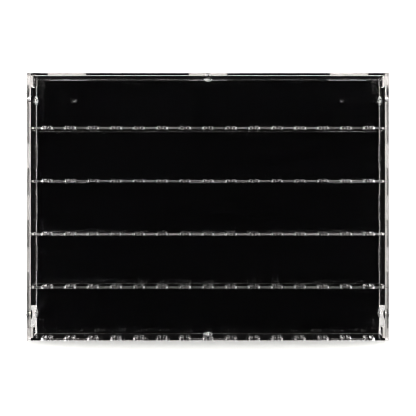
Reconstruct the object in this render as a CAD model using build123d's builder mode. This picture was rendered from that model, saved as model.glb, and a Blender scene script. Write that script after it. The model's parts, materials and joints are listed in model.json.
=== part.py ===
from build123d import *
import math
import os

# Wall display case for small toy figures: a shallow clear case with a gloss black back.
# All sizes are in millimetres. X runs to the right seen from the front, Y from the front
# to the back and Z up. The origin is under the middle of the case.

# Places for the figures
station_count = 15
station_pitch = 32.0
end_margin = 5.0
bay_count = 5
bay_height = 70.5
bottom_bay_height = 68.8
wall_depth = 46.0

# Sheet thicknesses
side_thickness = 5.0
top_thickness = 4.0
base_thickness = 3.0
shelf_thickness = 3.0
back_thickness = 3.0
front_thickness = 3.0

# Clearances: between sheets that are cemented together, and round the loose front
fit_gap = 0.1
front_gap = 0.3

# Tabs that join the sheets
deck_tab_width = 54.0
deck_tab_end_margin = 18.0
side_tab_width = 35.0
corner_tab_width = 12.4
shelf_end_tab_width = 24.0
back_lap_side = 1.6
back_lap_top = 3.0
back_lap_base = 1.5

# Round stands with four studs, set in the decks
stand_diameter = 17.0
stand_front_margin = 9.7
stud_diameter = 4.8
stud_height = 1.7
stud_spacing = 8.0

# Domed stop pegs in front of the back panel
stop_diameter = 13.0
stop_height = 3.0
stop_rim = 0.6
stop_peg_diameter = 6.0
stop_end_margin = 30.0

# Domed bumper dots on the outer faces of the sides
bumper_diameter = 12.7
bumper_height = 3.5
bumper_rim = 0.8
bumper_front_margin = 9.3
upper_bumper_drop = 25.5
lower_bumper_rise = 35.0

# Locators that plug the front into the corners of the case
locator_thickness = 3.0
locator_height = 14.5
locator_depth = 14.0
locator_lead_in = 4.2
locator_flat = 2.0
locator_corner_radius = 1.5

# Countersunk holes for the wall screws
wall_hole_diameter = 4.5
wall_hole_countersink = 8.6
wall_hole_side_margin = 52.3
wall_hole_drop = 28.0

# Widths and heights that follow from these
inner_width = station_count * station_pitch + 2 * end_margin
outer_width = inner_width + 2 * side_thickness
bay_pitch = bay_height + shelf_thickness
inner_height = bottom_bay_height + (bay_count - 1) * bay_pitch
ceiling_z = base_thickness + inner_height
outer_height = ceiling_z + top_thickness

# Planes from the front to the back
case_depth = front_thickness + front_gap + wall_depth + fit_gap + back_thickness
front_y = -case_depth / 2
front_back_y = front_y + front_thickness
wall_front_y = front_back_y + front_gap
wall_rear_y = wall_front_y + wall_depth
back_front_y = wall_rear_y + fit_gap
back_rear_y = back_front_y + back_thickness
wall_middle_y = (wall_front_y + wall_rear_y) / 2
tab_middle_y = (wall_rear_y + back_rear_y) / 2
tab_length = back_rear_y - wall_rear_y

# Places that several pieces share
outer_tab_x = inner_width / 2 - deck_tab_end_margin - deck_tab_width / 2
deck_tab_places = [-outer_tab_x, 0, outer_tab_x]
shelf_levels = [base_thickness + bottom_bay_height + level * bay_pitch for level in range(bay_count - 1)]
side_tab_levels = [z + shelf_thickness + bay_height / 2 for z in shelf_levels[:-1]]
stand_y = wall_front_y + stand_front_margin
station_places = [
    ((number - (station_count - 1) / 2) * station_pitch, stand_y) for number in range(station_count)
]
stop_y = back_front_y - fit_gap - stop_diameter / 2
stop_levels = [base_thickness + stop_end_margin, ceiling_z - stop_end_margin]
bumper_y = wall_front_y + bumper_front_margin
bumper_levels = [lower_bumper_rise, outer_height - upper_bumper_drop]


def deck(low_z, thickness, has_stands, has_end_tabs):
    """One level sheet between the sides, with its rear tabs."""
    with BuildPart() as sheet:
        with BuildSketch(Plane.XY.offset(low_z)):
            with Locations((0, wall_middle_y)):
                Rectangle(inner_width - 2 * fit_gap, wall_depth)
            with Locations(*[(x, tab_middle_y) for x in deck_tab_places]):
                Rectangle(deck_tab_width, tab_length)
            if has_end_tabs:
                with Locations((0, wall_middle_y)):
                    Rectangle(outer_width, shelf_end_tab_width)
            if has_stands:
                with Locations(*station_places):
                    Circle(stand_diameter / 2 + fit_gap, mode=Mode.SUBTRACT)
        extrude(amount=thickness)
        if not has_stands or low_z == 0:
            with BuildSketch(Plane.XY.offset(low_z)):
                with Locations((0, stop_y)):
                    Circle(stop_peg_diameter / 2 + fit_gap)
            extrude(amount=thickness, mode=Mode.SUBTRACT)
    return sheet.part


def side(low_x):
    """One upright side sheet, with its rear tabs and the slots for the shelves."""
    with BuildPart() as sheet:
        with BuildSketch(Plane.YZ.offset(low_x)):
            with Locations((wall_middle_y, outer_height / 2)):
                Rectangle(wall_depth, outer_height)
            with Locations(*[(tab_middle_y, z) for z in side_tab_levels]):
                Rectangle(tab_length, side_tab_width)
            with Locations(
                (tab_middle_y, corner_tab_width / 2),
                (tab_middle_y, outer_height - corner_tab_width / 2),
            ):
                Rectangle(tab_length, corner_tab_width)
            with Locations(*[(wall_middle_y, z + shelf_thickness / 2) for z in shelf_levels]):
                Rectangle(
                    shelf_end_tab_width + 2 * fit_gap,
                    shelf_thickness + 2 * fit_gap,
                    mode=Mode.SUBTRACT,
                )
            with Locations(*[(stop_y, z) for z in stop_levels]):
                Circle(stop_peg_diameter / 2 + fit_gap, mode=Mode.SUBTRACT)
        extrude(amount=side_thickness)
    return sheet.part


def stands(low_z, thickness):
    """The round stands of one deck, each with four studs on top."""
    with BuildPart() as row:
        with BuildSketch(Plane.XY.offset(low_z)):
            with Locations(*station_places):
                Circle(stand_diameter / 2)
        extrude(amount=thickness)
        with BuildSketch(Plane.XY.offset(low_z + thickness)):
            with Locations(*station_places):
                with GridLocations(stud_spacing, stud_spacing, 2, 2):
                    Circle(stud_diameter / 2)
        extrude(amount=stud_height)
    return row.part


def domed_buttons(places, diameter, height, rim, peg_diameter=0, peg_length=0):
    """Round buttons with a low dome, each at a point on a face and along its normal."""
    radius = diameter / 2
    rise = height - rim
    dome_radius = (radius**2 + rise**2) / (2 * rise)
    half_angle = math.asin(radius / dome_radius) / 2
    dome_middle = (
        dome_radius * math.sin(half_angle),
        height - dome_radius + dome_radius * math.cos(half_angle),
    )
    outline = [(0, height), (0, -peg_length)]
    if peg_length > 0:
        outline += [(peg_diameter / 2, -peg_length), (peg_diameter / 2, 0)]
    outline += [(radius, 0), (radius, rim)]
    with BuildPart() as buttons:
        for spot, normal in places:
            across = Vector(0, 1, 0)
            with BuildSketch(Plane(origin=spot, x_dir=across, z_dir=across.cross(Vector(*normal)))):
                with BuildLine():
                    Polyline(*outline)
                    ThreePointArc((radius, rim), dome_middle, (0, height))
                make_face()
            revolve(axis=Axis(spot, normal))
    return buttons.part


def locator(low_x, face_z, inward):
    """One corner locator: a small upright plate with a tapered lead-in."""
    near_z = face_z + inward * front_gap
    low_y = front_back_y + fit_gap
    high_y = front_back_y + locator_depth
    far_z = near_z + inward * locator_height
    with BuildPart() as plate:
        with BuildSketch(Plane.YZ.offset(low_x)) as outline:
            with BuildLine():
                Polyline(
                    (low_y, near_z),
                    (low_y + locator_flat, near_z),
                    (high_y, near_z + inward * locator_lead_in),
                    (high_y, far_z),
                    (low_y, far_z),
                    close=True,
                )
            make_face()
            fillet(outline.vertices().group_by(Axis.Y)[-1], locator_corner_radius)
        extrude(amount=locator_thickness)
    return plate.part


def write(part, name):
    part.label = name
    export_step(part, f"parts/{name}.step")


os.makedirs("parts", exist_ok=True)

# Level sheets
write(deck(0, base_thickness, True, False), "base_panel")
write(deck(ceiling_z, top_thickness, False, False), "top_panel")
for number, low_z in enumerate(reversed(shelf_levels), start=1):
    write(deck(low_z, shelf_thickness, True, True), f"shelf_{number}")
    write(stands(low_z, shelf_thickness), f"shelf_{number}_stands")
write(stands(0, base_thickness), "base_stands")

# Upright side sheets
write(side(-outer_width / 2), "left_side_panel")
write(side(inner_width / 2), "right_side_panel")

# Gloss black back: it laps part of each sheet's rear edge, with notches and slots for the tabs
back_low_z = base_thickness - back_lap_base
back_high_z = ceiling_z + back_lap_top
with BuildPart() as back_panel:
    with BuildSketch(Plane.XZ.offset(-back_rear_y)):
        with Locations((0, (back_low_z + back_high_z) / 2)):
            Rectangle(inner_width + 2 * back_lap_side, back_high_z - back_low_z)
        for x in deck_tab_places:
            with Locations((x, base_thickness + fit_gap)):
                Rectangle(
                    deck_tab_width + 2 * fit_gap,
                    base_thickness + fit_gap,
                    align=(Align.CENTER, Align.MAX),
                    mode=Mode.SUBTRACT,
                )
            with Locations((x, ceiling_z - fit_gap)):
                Rectangle(
                    deck_tab_width + 2 * fit_gap,
                    top_thickness + fit_gap,
                    align=(Align.CENTER, Align.MIN),
                    mode=Mode.SUBTRACT,
                )
            with Locations(*[(x, z + shelf_thickness / 2) for z in shelf_levels]):
                Rectangle(
                    deck_tab_width + 2 * fit_gap,
                    shelf_thickness + 2 * fit_gap,
                    mode=Mode.SUBTRACT,
                )
        for hand, near_side in ((-1, Align.MAX), (1, Align.MIN)):
            notch_x = hand * (inner_width / 2 - fit_gap)
            with Locations(*[(notch_x, z) for z in side_tab_levels]):
                Rectangle(
                    side_thickness + fit_gap,
                    side_tab_width + 2 * fit_gap,
                    align=(near_side, Align.CENTER),
                    mode=Mode.SUBTRACT,
                )
            with Locations((notch_x, 0)):
                Rectangle(
                    side_thickness + fit_gap,
                    corner_tab_width + fit_gap,
                    align=(near_side, Align.MIN),
                    mode=Mode.SUBTRACT,
                )
            with Locations((notch_x, outer_height)):
                Rectangle(
                    side_thickness + fit_gap,
                    corner_tab_width + fit_gap,
                    align=(near_side, Align.MAX),
                    mode=Mode.SUBTRACT,
                )
    extrude(amount=back_thickness)
    for hand in (-1, 1):
        hole_x = hand * (inner_width / 2 - wall_hole_side_margin)
        hole_z = ceiling_z - wall_hole_drop
        with Locations(Plane(origin=(hole_x, back_front_y, hole_z), z_dir=(0, -1, 0))):
            CounterSinkHole(wall_hole_diameter / 2, wall_hole_countersink / 2, depth=back_thickness)
write(back_panel.part, "back_panel")

# Clear front, which lifts off with its four locators
with BuildPart() as front_panel:
    with BuildSketch(Plane.XZ.offset(-front_back_y)):
        with Locations((0, outer_height / 2)):
            Rectangle(outer_width, outer_height)
    extrude(amount=front_thickness)
write(front_panel.part, "front_panel")

left_locator_x = -inner_width / 2 + front_gap
right_locator_x = inner_width / 2 - front_gap - locator_thickness
write(locator(left_locator_x, ceiling_z, -1), "upper_left_locator")
write(locator(right_locator_x, ceiling_z, -1), "upper_right_locator")
write(locator(left_locator_x, base_thickness, 1), "lower_left_locator")
write(locator(right_locator_x, base_thickness, 1), "lower_right_locator")

# Stop pegs: one in the middle of the top and of the base, two in each side
stop_shape = (stop_diameter, stop_height, stop_rim, stop_peg_diameter)
write(
    domed_buttons([((0, stop_y, ceiling_z), (0, 0, -1))], *stop_shape, top_thickness),
    "top_stop_peg",
)
write(
    domed_buttons([((0, stop_y, base_thickness), (0, 0, 1))], *stop_shape, base_thickness),
    "base_stop_peg",
)
for hand, name in ((-1, "left_stop_pegs"), (1, "right_stop_pegs")):
    places = [((hand * inner_width / 2, stop_y, z), (-hand, 0, 0)) for z in stop_levels]
    write(domed_buttons(places, *stop_shape, side_thickness), name)

# Bumper dots: two on the outer face of each side
for hand, name in ((-1, "left_bumper_dots"), (1, "right_bumper_dots")):
    places = [((hand * outer_width / 2, bumper_y, z), (hand, 0, 0)) for z in bumper_levels]
    write(domed_buttons(places, bumper_diameter, bumper_height, bumper_rim), name)
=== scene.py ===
import json
import math

import bmesh
import bpy
import numpy as np
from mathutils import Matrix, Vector


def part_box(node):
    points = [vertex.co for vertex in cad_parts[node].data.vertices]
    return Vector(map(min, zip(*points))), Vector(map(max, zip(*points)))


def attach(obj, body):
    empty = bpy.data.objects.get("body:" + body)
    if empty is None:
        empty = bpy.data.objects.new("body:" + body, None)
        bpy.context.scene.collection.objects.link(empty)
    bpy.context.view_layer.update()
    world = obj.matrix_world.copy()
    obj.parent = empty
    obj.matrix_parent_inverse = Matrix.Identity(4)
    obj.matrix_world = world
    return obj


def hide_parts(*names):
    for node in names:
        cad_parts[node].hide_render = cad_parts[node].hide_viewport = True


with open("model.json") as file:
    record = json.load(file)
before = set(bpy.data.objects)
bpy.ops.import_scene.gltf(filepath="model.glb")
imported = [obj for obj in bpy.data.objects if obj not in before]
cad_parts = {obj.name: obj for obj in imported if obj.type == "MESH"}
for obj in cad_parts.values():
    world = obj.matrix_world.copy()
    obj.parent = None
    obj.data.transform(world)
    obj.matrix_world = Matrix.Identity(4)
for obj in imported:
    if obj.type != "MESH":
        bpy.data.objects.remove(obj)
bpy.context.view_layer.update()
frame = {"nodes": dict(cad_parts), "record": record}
nodes = frame["nodes"]
print("frame loaded:", len(nodes), "nodes")

mm = 0.001

cameraSet = {
    "eye": (2.9, -1292.9, 195.6),  # mm, level with the upper part of the middle bay
    "lens": 79.37,  # mm, on a sensor as wide as the next line says
    "sensor": 36.0,
    "shiftPixels": (-2.0, -9.0),  # the axis meets the picture 2 px right of and 9 px above its middle
    "picture": 416,
    "clipEnd": 50.0,
}
cameraData = bpy.data.cameras.new("photoCamera")
cameraData.sensor_width = cameraSet["sensor"]
cameraData.lens = cameraSet["lens"]
cameraData.shift_x = cameraSet["shiftPixels"][0] / cameraSet["picture"]
cameraData.shift_y = cameraSet["shiftPixels"][1] / cameraSet["picture"]
cameraData.clip_end = cameraSet["clipEnd"]
camera = bpy.data.objects.new("photoCamera", cameraData)
camera.location = [c * mm for c in cameraSet["eye"]]
camera.rotation_euler = (math.radians(90), 0, 0)
bpy.context.scene.collection.objects.link(camera)
bpy.context.scene.camera = camera
bpy.context.scene.view_settings.view_transform = "Standard"
print("camera set")


# An sRGB hex colour as linear red, green and blue: v / 12.92 near black, ((v + 0.055) / 1.055) ** 2.4 above
def linearFromHex(code):
    parts = np.array([int(code[i : i + 2], 16) / 255 for i in (1, 3, 5)])
    linear = np.where(parts <= 0.04045, parts / 12.92, ((parts + 0.055) / 1.055) ** 2.4)
    return (*linear.tolist(), 1.0)


# Adds a node, gives it its settings and links its inputs. A setting's key that is a number or the name of
# an input sets that input, and any other key sets a property of the node.
def addNode(tree, kind, settings=None, links=None):
    node = tree.nodes.new(kind)
    for key, value in (settings or {}).items():
        if isinstance(key, int) or key in node.inputs:
            node.inputs[key].default_value = value
        else:
            setattr(node, key, value)
    for key, source in (links or {}).items():
        tree.links.new(source, node.inputs[key])
    return node


# The result of a Math node. Each value is a number or the output of another node.
def addMath(tree, operation, *values):
    node = addNode(tree, "ShaderNodeMath", {"operation": operation})
    for place, value in enumerate(values):
        if isinstance(value, bpy.types.NodeSocket):
            tree.links.new(value, node.inputs[place])
        else:
            node.inputs[place].default_value = value
    return node.outputs["Value"]


# A value that runs from the first to the second of result while the given one runs along span
def addRange(tree, value, span, result=(0.0, 1.0)):
    settings = {"From Min": span[0], "From Max": span[1], "To Min": result[0], "To Max": result[1]}
    return addNode(tree, "ShaderNodeMapRange", settings, {"Value": value}).outputs["Result"]


# A noise from 0 to 1 with perMetre cells to a metre
def addNoise(tree, coords, perMetre, detail):
    settings = {"Scale": perMetre, "Detail": detail}
    return addNode(tree, "ShaderNodeTexNoise", settings, {"Vector": coords}).outputs["Fac"]


# A normal bent by a height of 0 to highMm, as strongly as strength says
def addBump(tree, height, strength, highMm=1.0):
    settings = {"Strength": strength, "Distance": highMm * mm}
    return addNode(tree, "ShaderNodeBump", settings, {"Height": height}).outputs["Normal"]


# An empty material, with its tree, its output node and the Object coordinates that its patterns read
def newMaterial(name):
    material = bpy.data.materials.new(name)
    material.use_nodes = True
    tree = material.node_tree
    tree.nodes.clear()
    out = tree.nodes.new("ShaderNodeOutputMaterial")
    coords = tree.nodes.new("ShaderNodeTexCoord").outputs["Object"]
    return material, tree, out, coords


noiseDetail = {"ripple": 1.0, "paintedSeeThrough": 1.0, "grain": 3.0, "haze": 4.0, "paper": 2.0}
mmPerMetre = 1000  # a noise of n mm has mmPerMetre / n cells to a metre


# A clear plastic: a noise of rippleMm bends its normal by ripple. With a second colour, a second noise of the
# size
# its Mm key gives colours it: all that colour where that noise is under its range, and all tint where it is
# over.
# That colour is a painted view of what shows through the plastic, not specks in it.
def clearMaterial(name, look):
    material, tree, out, coords = newMaterial(name)
    height = addNoise(tree, coords, mmPerMetre / look["rippleMm"], noiseDetail["ripple"])
    shader = addNode(
        tree,
        "ShaderNodeBsdfPrincipled",
        {
            "Base Color": linearFromHex(look["tint"]),
            "IOR": look["ior"],
            "Roughness": look["roughness"],
            "Transmission Weight": look["clear"],
        },
        {"Normal": addBump(tree, height, look["ripple"])},
    )
    if "paintedSeeThrough" in look:
        cloud = addNoise(tree, coords, mmPerMetre / look["paintedSeeThroughMm"], noiseDetail["paintedSeeThrough"])
        share = addRange(tree, cloud, look["paintedSeeThroughRange"])
        colours = {"data_type": "RGBA", 6: linearFromHex(look["paintedSeeThrough"]), 7: linearFromHex(look["tint"])}
        paintedSeeThroughMix = addNode(tree, "ShaderNodeMix", colours, {0: share})
        tree.links.new(paintedSeeThroughMix.outputs[2], shader.inputs["Base Color"])
    tree.links.new(shader.outputs[0], out.inputs["Surface"])
    return material


# A sawn plastic, white or half clear: one noise of grainMm gives both its roughness, from the first to the
# second, and its grain, which stands for grainHighMm
def sawnMaterial(name, look):
    material, tree, out, coords = newMaterial(name)
    grain = addNoise(tree, coords, mmPerMetre / look["grainMm"], noiseDetail["grain"])
    shader = addNode(
        tree,
        "ShaderNodeBsdfPrincipled",
        {"Base Color": linearFromHex(look["tint"]), "IOR": look["ior"], "Transmission Weight": look["clear"]},
        {
            "Roughness": addRange(tree, grain, (0.0, 1.0), look["roughness"]),
            "Normal": addBump(tree, grain, look["grain"], look["grainHighMm"]),
        },
    )
    tree.links.new(shader.outputs[0], out.inputs["Surface"])
    return material


# A gloss sheet that no light goes through: one noise ripples its mirror, and a finer one hazes it by
# changing its roughness from the first to the second
def blackMaterial(name, look):
    material, tree, out, coords = newMaterial(name)
    height = addNoise(tree, coords, mmPerMetre / look["rippleMm"], noiseDetail["ripple"])
    haze = addNoise(tree, coords, look["hazePerMetre"], noiseDetail["haze"])
    shader = addNode(
        tree,
        "ShaderNodeBsdfPrincipled",
        {"Base Color": linearFromHex(look["colour"]), "IOR": look["ior"]},
        {
            "Roughness": addRange(tree, haze, (0.0, 1.0), look["roughness"]),
            "Normal": addBump(tree, height, look["ripple"]),
        },
    )
    tree.links.new(shader.outputs[0], out.inputs["Surface"])
    return material


# Cast acrylic sheet, its edges polished: water clear and mirror smooth, with a slow ripple from casting that
# bends what is seen through it very slightly
clearSheet = {
    "tint": "#FEFDFD",
    "ior": 1.49,
    "roughness": 0.0,
    "clear": 1.0,
    "rippleMm": 45.0,
    "ripple": 0.004,
}
castAcrylic = clearMaterial("castAcrylicPolished", clearSheet)

# The rear ends of the tabs and sheets are left as the saw leaves them: a fine white satin
sawnEdge = {
    "tint": "#FBF7F2",
    "ior": 1.49,
    "clear": 0.5,
    "roughness": (0.6, 0.9),
    "grainMm": 0.8,
    "grain": 0.2,
    "grainHighMm": 0.3,
}
sawnAcrylic = sawnMaterial("castAcrylicSawnEdge", sawnEdge)

# The shelves' and the base's ends were sawn finer, and the cement has half wetted them and the lapped edges
# of the walls: smooth, milky in parts
shelfEdge = {"tint": "#F6F4F0", "clear": 0.6, "roughness": (0.03, 0.1)}
sawnShelf = sawnMaterial("castAcrylicSawnShelfEdge", {**sawnEdge, **shelfEdge})

# The sides of the holes for the stands are left white by the cutter. Seen through the shelf's front edge
# they are the bright dots beside each stand.
holeSide = {"tint": "#FFFFFF", "clear": 0.0}
cutHole = sawnMaterial("castAcrylicCutHole", {**sawnEdge, **holeSide})

# Gloss black cast acrylic: a deep black with a clear mirror on top
blackSheet = {
    "colour": "#050506",
    "ior": 1.49,
    "roughness": (0.02, 0.05),
    "hazePerMetre": 60.0,
    "rippleMm": 60.0,
    "ripple": 0.006,
}
blackAcrylic = blackMaterial("castAcrylicGlossBlack", blackSheet)

# Clear polycarbonate, injection moulded, with a finer ripple than a sheet's. Its grey tint is painted shade
# that darkens the clear stands.
standPlastic = {
    "tint": "#BCBBBA",
    "ior": 1.58,
    "roughness": 0.0,
    "clear": 1.0,
    "rippleMm": 6.0,
    "ripple": 0.02,
}
mouldedClear = clearMaterial("polycarbonateMouldedClear", standPlastic)

# Natural nylon, injection moulded: a milky white. Its dark patches are painted: a painted view of the black
# back, seen where the plastic is clear enough.
pegPlastic = {
    "tint": "#FFFFFE",
    "ior": 1.53,
    "roughness": 0.1,
    "clear": 0.05,
    "rippleMm": 1.5,
    "ripple": 1.0,
    "paintedSeeThrough": "#1A1918",
    "paintedSeeThroughMm": 2.2,
    "paintedSeeThroughRange": (0.41, 0.49),
}
naturalNylon = clearMaterial("nylonMouldedNatural", pegPlastic)

# Polyurethane, cast as a soft dome: clear with a light frost
bumperGum = {
    "tint": "#FAFBFB",
    "ior": 1.5,
    "roughness": 0.25,
    "clear": 0.7,
    "rippleMm": 4.0,
    "ripple": 0.1,
}
bumperClear = clearMaterial("polyurethaneCastClear", bumperGum)
print("materials made")


copySet = {
    "mergeMm": 0.002,  # vertices nearer than this are one
    "flatDegrees": 0.5,  # faces that turn less than this are one flat face
    "smoothDegrees": 30,  # and those that turn less than this are shaded as one round face
    "cutMm": 0.001,  # a vertex nearer a cutting plane than this lies in it
    "discChords": 16,
    "discPlaneMm": 0.01,  # a disc's face lies nearer its middle's plane than this
    "discSquare": 0.99,  # how far along X that face's normal points, 1 being exactly
    "bevelSegments": 2,
}


# Cuts a round patch out of the face square to X that its middle lies in. Each chord's plane goes through
# middle + radius * (cos turn, sin turn) in Y and Z, and what is inside it goes on to the next chord.
def cutDisc(shape, middle, radius):
    patch = []
    for face in shape.faces:
        apart = abs(face.verts[0].co.x - middle.x)
        if abs(face.normal.x) > copySet["discSquare"] and apart < copySet["discPlaneMm"] * mm:
            patch.append(face)
    for turn in np.linspace(0, 2 * math.pi, copySet["discChords"], endpoint=False):
        away = Vector((0, math.cos(turn), math.sin(turn)))
        point = middle + radius * away
        parts = dict.fromkeys(part for face in patch for part in (face, *face.edges, *face.verts))
        split = bmesh.ops.bisect_plane(
            shape, geom=list(parts), plane_co=point, plane_no=away, dist=copySet["cutMm"] * mm
        )
        patch = [part for part in split["geom"] if isinstance(part, bmesh.types.BMFace)]
        patch = [face for face in patch if (face.calc_center_median() - point).dot(away) < 0]


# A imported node's triangles as a clean shape: doubles merged, flat triangles joined, and its faces split by
# the cuts, each a plane (point, normal), and by the discs, each a patch (middle, radius)
def cleanShape(node, cuts, discs):
    shape = bmesh.new()
    shape.from_mesh(nodes[node].data)
    flat = math.radians(copySet["flatDegrees"])
    bmesh.ops.remove_doubles(shape, verts=shape.verts, dist=copySet["mergeMm"] * mm)
    bmesh.ops.dissolve_limit(shape, angle_limit=flat, verts=shape.verts, edges=shape.edges)
    for point, normal in cuts:
        everything = shape.verts[:] + shape.edges[:] + shape.faces[:]
        bmesh.ops.bisect_plane(
            shape, geom=everything, plane_co=point, plane_no=normal, dist=copySet["cutMm"] * mm
        )
    for middle, radius in discs:
        cutDisc(shape, Vector(middle), radius)
    shape.verts.index_update()
    return shape


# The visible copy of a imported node: its clean shape with a small bevel run round its edges. faceFinish picks
# each face's finish, by its number in finishes, from the face's middle and normal.
def finishedCopy(node, bevelMm, finishes, faceFinish=None, cuts=(), discs=(), bevelDegrees=50):
    shape = cleanShape(node, cuts, discs)
    corners = [vertex.co.copy() for vertex in shape.verts]
    mesh = bpy.data.meshes.new(node + "Finished")
    mesh.from_pydata(corners, [], [[vertex.index for vertex in face.verts] for face in shape.faces])
    for finish in finishes:
        mesh.materials.append(finish)
    flat, smooth = math.radians(copySet["flatDegrees"]), math.radians(copySet["smoothDegrees"])
    for face, made in zip(shape.faces, mesh.polygons):
        made.material_index = 0 if faceFinish is None else faceFinish(made.center, made.normal)
        made.use_smooth = any(flat < edge.calc_face_angle(0) < smooth for edge in face.edges)
    shape.free()
    mesh.set_sharp_from_angle(angle=smooth)
    piece = bpy.data.objects.new(node + "Finished", mesh)
    bpy.context.scene.collection.objects.link(piece)
    if bevelMm > 0:
        bevel = piece.modifiers.new("edgeBevel", "BEVEL")
        bevel.width = bevelMm * mm
        bevel.segments = copySet["bevelSegments"]
        bevel.limit_method = "ANGLE"
        bevel.angle_limit = math.radians(bevelDegrees)
        bevel.harden_normals = True
    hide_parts(node)
    body = next(name for name, members in frame["record"]["behaviour"]["bodies"].items() if node in members)
    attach(piece, body)


sheetSet = {
    "bevelMm": 0.18,
    "topBevelMm": 0.4,
    "rearMm": 22.9,  # a sheet's rear edge lies behind this
    "tabMm": 25.0,  # and the end of a tab behind this
    "rearFacing": 0.9,  # how far along Y a rear edge's normal points, 1 being exactly
    "holesToMm": 238.0,  # the holes for the stands lie within this of the middle, to the left and the right
    "holeFacing": 0.75,  # how far along X the normal of a hole's matt side points
}
backLow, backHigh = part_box("back_panel")


# Tab ends and the bare part of a rear edge are as sawn (1). Where the back panel laps the edge, the cement
# has wetted it (2): clear at the top and the base, so that the black shows through, and milky at the walls.
# Everything else is polished (0).
def sheetFinish(middle, normal):
    if normal.y < sheetSet["rearFacing"] or middle.y < sheetSet["rearMm"] * mm:
        return 0
    lapped = backLow[0] < middle.x < backHigh[0] and backLow[2] < middle.z < backHigh[2]
    return 2 if lapped and middle.y < sheetSet["tabMm"] * mm else 1


# The shelves' rear edges are milky along their whole length (1), and the sides of the holes for the stands
# are matt from the cutter (2)
def shelfFinish(middle, normal):
    byHoles = middle.y < 0 and abs(middle.x) < sheetSet["holesToMm"] * mm
    if byHoles and abs(normal.x) > sheetSet["holeFacing"]:
        return 2
    return 1 if normal.y > sheetSet["rearFacing"] and middle.y > sheetSet["rearMm"] * mm else 0


# The planes in which the back panel's outer edges lie, where the finish of a lapped edge ends
topCut = ((0, 0, backHigh[2]), (0, 0, 1))
baseCut = ((0, 0, backLow[2]), (0, 0, 1))
leftCut = ((backLow[0], 0, 0), (1, 0, 0))
rightCut = ((backHigh[0], 0, 0), (1, 0, 0))

bumperSet = {
    "radiusMm": 6.35,
    "outerMm": 249.9,  # a side panel's outer face lies outside this
}


# A side panel, finished as the other sheets, and white where a bumper's adhesive touches its outer face:
# within radius of a bumper's middle
def sidePanel(name, dots, outer, cut):
    low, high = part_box(dots)
    radius = bumperSet["radiusMm"] * mm
    middleY = (low[1] + high[1]) / 2
    places = [(outer, middleY, z) for z in (low[2] + radius, high[2] - radius)]

    def wallFinish(middle, normal):
        glued = any(math.hypot(middle.y - place[1], middle.z - place[2]) < radius for place in places)
        if glued and abs(middle.x) > bumperSet["outerMm"] * mm:
            return 1
        return sheetFinish(middle, normal)

    finishes = [castAcrylic, sawnAcrylic, sawnShelf]
    discs = [(place, radius) for place in places]
    finishedCopy(name, sheetSet["bevelMm"], finishes, wallFinish, [cut], discs)


topFinishes = [castAcrylic, sawnAcrylic, castAcrylic]
finishedCopy("top_panel", sheetSet["topBevelMm"], topFinishes, sheetFinish, [topCut])
sidePanel("left_side_panel", "left_bumper_dots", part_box("left_side_panel")[0][0], leftCut)
sidePanel("right_side_panel", "right_bumper_dots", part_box("right_side_panel")[1][0], rightCut)
baseFinishes = [castAcrylic, sawnShelf, castAcrylic]
finishedCopy("base_panel", sheetSet["bevelMm"], baseFinishes, sheetFinish, [baseCut])
for n in range(1, 5):
    finishedCopy(f"shelf_{n}", sheetSet["bevelMm"], [castAcrylic, sawnShelf, cutHole], shelfFinish)
print("clear sheets done")

backSet = {"bevelMm": 0.25, "bevelDegrees": 40}
finishedCopy("back_panel", backSet["bevelMm"], [blackAcrylic], bevelDegrees=backSet["bevelDegrees"])
finishedCopy("front_panel", sheetSet["bevelMm"], [castAcrylic])
print("back and front done")

locatorSet = {
    "bevelMm": 0.25,
    "facing": 0.7,  # how far along X or Y a polished face's normal points
}


# The locators' broad faces and rear edges are polished (0), and the other narrow edges are as sawn (1)
def locatorFinish(middle, normal):
    return 0 if abs(normal.x) > locatorSet["facing"] or normal.y > locatorSet["facing"] else 1


noBevel = 0.0  # the moulded and cast pieces get none
for name in ("upper_left_locator", "upper_right_locator", "lower_left_locator", "lower_right_locator"):
    finishedCopy(name, locatorSet["bevelMm"], [castAcrylic, sawnAcrylic], locatorFinish)
for name in ["base_stands"] + [f"shelf_{n}_stands" for n in range(1, 5)]:
    finishedCopy(name, noBevel, [mouldedClear])
for name in ("top_stop_peg", "base_stop_peg", "left_stop_pegs", "right_stop_pegs"):
    finishedCopy(name, noBevel, [naturalNylon])
for name in ("left_bumper_dots", "right_bumper_dots"):
    finishedCopy(name, noBevel, [bumperClear])
print("pieces done")


paperSet = {
    "size": (3.0, 1.9),  # metres
    "middleY": -0.55,
    "belowMm": 0.1,  # how far the paper lies under the case
    "colour": "#888886",
    "roughness": 0.9,
    "gloss": 0.1,
    "grainPerMetre": 900.0,
    "grain": 0.02,
    "grainHighMm": 0.2,
    "clearDepth": 4.5,  # transmission depth up to which the paper is seen: the four faces of two sheets
    "underDepth": 0.5,  # the same under the case: no sheet at all
    "mirrorDepth": 0.5,  # glossy depth up to which it is seen: no mirror at all
}


# 1 where the paper is seen, by a ray that has met no mirror and fewer sheets than its limit. The limit is
# clearDepth beside the case. Under the case it is clearDepth + (underDepth - clearDepth) = underDepth, which
# brings the base behind its front edge nearer the photograph, though it is still brighter there.
def paperSeen(tree, coords):
    ray = tree.nodes.new("ShaderNodeLightPath").outputs
    place = addNode(tree, "ShaderNodeSeparateXYZ", None, {"Vector": coords}).outputs
    low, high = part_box("shelf_1")  # about as wide and as deep as the case
    within = []
    for axis, name in enumerate("XY"):
        middle, half = (low[axis] + high[axis]) / 2, (high[axis] - low[axis]) / 2
        within.append(addMath(tree, "COMPARE", place[name], middle, half))
    under = addMath(tree, "MULTIPLY", *within)
    drop = paperSet["underDepth"] - paperSet["clearDepth"]
    limit = addMath(tree, "MULTIPLY_ADD", under, drop, paperSet["clearDepth"])
    few = addMath(tree, "LESS_THAN", ray["Transmission Depth"], limit)
    unmirrored = addMath(tree, "LESS_THAN", ray["Glossy Depth"], paperSet["mirrorDepth"])
    return addMath(tree, "MULTIPLY", few, unmirrored)


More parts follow.
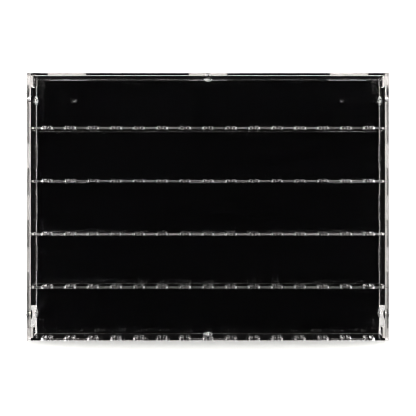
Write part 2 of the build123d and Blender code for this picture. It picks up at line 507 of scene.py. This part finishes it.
halfX, halfY = paperSet["size"][0] / 2, paperSet["size"][1] / 2
frontY, rearY = paperSet["middleY"] - halfY, paperSet["middleY"] + halfY
floorOutline = [(-halfX, frontY), (halfX, frontY), (halfX, rearY), (-halfX, rearY)]
floorMesh = bpy.data.meshes.new("floor")
floorMesh.from_pydata([(x, y, -paperSet["belowMm"] * mm) for x, y in floorOutline], [], [(0, 1, 2, 3)])
floor = bpy.data.objects.new("floor", floorMesh)
bpy.context.scene.collection.objects.link(floor)

# Matt grey paper with a fine grain
floorMaterial, tree, out, coords = newMaterial("matteGreyPaper")
grain = addNoise(tree, coords, paperSet["grainPerMetre"], noiseDetail["paper"])
paper = addNode(
    tree,
    "ShaderNodeBsdfPrincipled",
    {
        "Base Color": linearFromHex(paperSet["colour"]),
        "Roughness": paperSet["roughness"],
        "Specular IOR Level": paperSet["gloss"],
    },
    {"Normal": addBump(tree, grain, paperSet["grain"], paperSet["grainHighMm"])},
)
hidden = addNode(tree, "ShaderNodeBsdfTransparent")
paperOrNone = addNode(
    tree, "ShaderNodeMixShader", None, {0: paperSeen(tree, coords), 1: hidden.outputs[0], 2: paper.outputs[0]}
)
tree.links.new(paperOrNone.outputs[0], out.inputs["Surface"])
floorMesh.materials.append(floorMaterial)
print("floor laid")


skySet = {
    "front": 1.3,  # brightness of the room behind the camera, outside the dark cone
    "rear": 9.0,  # brightness of the room behind the case
    "side": 4.0,  # brightness of the room across the Y axis: left, right and overhead
    "dark": 0.01,  # and where no light is
    "frontToRear": (-0.3, 0.3),  # share along Y over which the front turns into the rear
    "darkCone": (0.965, 0.90),  # share along Y: dark inside the first, fully lit outside the second
    "high": (0.05, 0.6),  # share along Z at which the light from above starts, and at which it is full
    "aside": (0.95, 0.8),  # share along Y at which that light starts, and at which it is full
    "horizon": (-0.1, 0.05),  # and the shares along Z
    "white": 1.3,  # the plain white behind the case
    "clearCone": 0.968,  # inside this share along Y, the white isn't seen through clear sheets
    "straightDepth": 0.5,  # a ray that has bounced less often than this is straight
}
world = bpy.data.worlds.new("studio")
bpy.context.scene.world = world
world.use_nodes = True
sky = world.node_tree
sky.nodes.clear()
skyOut = sky.nodes.new("ShaderNodeOutputWorld")
direction = sky.nodes.new("ShaderNodeTexCoord").outputs["Generated"]
shares = addNode(sky, "ShaderNodeSeparateXYZ", None, {"Vector": direction}).outputs
along = addMath(sky, "ABSOLUTE", shares["Y"])

# The room's light from above, dark in a cone to the front and the rear: band * high
rearOrFront = addRange(sky, shares["Y"], skySet["frontToRear"], (skySet["front"], skySet["rear"]))
band = addNode(
    sky,
    "ShaderNodeMapRange",
    {
        "From Min": skySet["darkCone"][0],
        "From Max": skySet["darkCone"][1],
        "interpolation_type": "SMOOTHSTEP",
    },
    {"Value": along, "To Max": rearOrFront},
)
high = addRange(sky, shares["Z"], skySet["high"])
lifted = addMath(sky, "MULTIPLY", band.outputs["Result"], high)

# The light from across the Y axis, down to the horizon: aside * horizon
aside = addRange(sky, along, skySet["aside"], (0.0, skySet["side"]))
horizon = addRange(sky, shares["Z"], skySet["horizon"])
sided = addMath(sky, "MULTIPLY", aside, horizon)

# The room is the brightest of these two and the dark level
room = addMath(sky, "MAXIMUM", addMath(sky, "MAXIMUM", lifted, sided), skySet["dark"])

# A ray that has bounced sees the room. Straight from the camera the world is plain white. Through clear
# sheets it is that white too, but for a cone round the Y axis, where it is the room and at most that white.
ray = sky.nodes.new("ShaderNodeLightPath").outputs
bounces = addMath(sky, "ADD", ray["Glossy Depth"], ray["Diffuse Depth"])
straight = addMath(sky, "LESS_THAN", bounces, skySet["straightDepth"])
capped = addMath(sky, "MINIMUM", room, skySet["white"])
offAxis = addMath(sky, "LESS_THAN", along, skySet["clearCone"])
white = addMath(sky, "MAXIMUM", offAxis, ray["Is Camera Ray"])
plainWhite = {"data_type": "FLOAT", "B": skySet["white"]}
through = addNode(sky, "ShaderNodeMix", plainWhite, {"Factor": white, "A": capped})
level = addNode(
    sky,
    "ShaderNodeMix",
    {"data_type": "FLOAT"},
    {"Factor": straight, "A": room, "B": through.outputs["Result"]},
)
background = addNode(
    sky, "ShaderNodeBackground", {"Color": (1, 1, 1, 1)}, {"Strength": level.outputs["Result"]}
)
sky.links.new(background.outputs[0], skyOut.inputs["Surface"])
print("sky made")

softboxSet = {"power": 76.0, "size": (1.2, 0.44), "place": (0.0, 0.22, 1.6)}  # watts and metres
softboxData = bpy.data.lights.new("softbox", "AREA")
softboxData.energy = softboxSet["power"]
softboxData.shape = "RECTANGLE"
softboxData.size, softboxData.size_y = softboxSet["size"]
softbox = bpy.data.objects.new("softbox", softboxData)
softbox.location = softboxSet["place"]
softbox.visible_glossy = False  # no glare in the black back, and none through the sheets
softbox.visible_transmission = False
bpy.context.scene.collection.objects.link(softbox)

cyclesSet = {"filterWidth": 1.0, "bounces": 32, "glossyBounces": 16, "transparentBounces": 16}
cycles = bpy.context.scene.cycles
cycles.filter_width = cyclesSet["filterWidth"]  # crisp lines, as in the photograph
cycles.max_bounces = cyclesSet["bounces"]
cycles.transmission_bounces = cyclesSet["bounces"]
cycles.glossy_bounces = cyclesSet["glossyBounces"]
cycles.transparent_max_bounces = cyclesSet["transparentBounces"]
print("stage set")
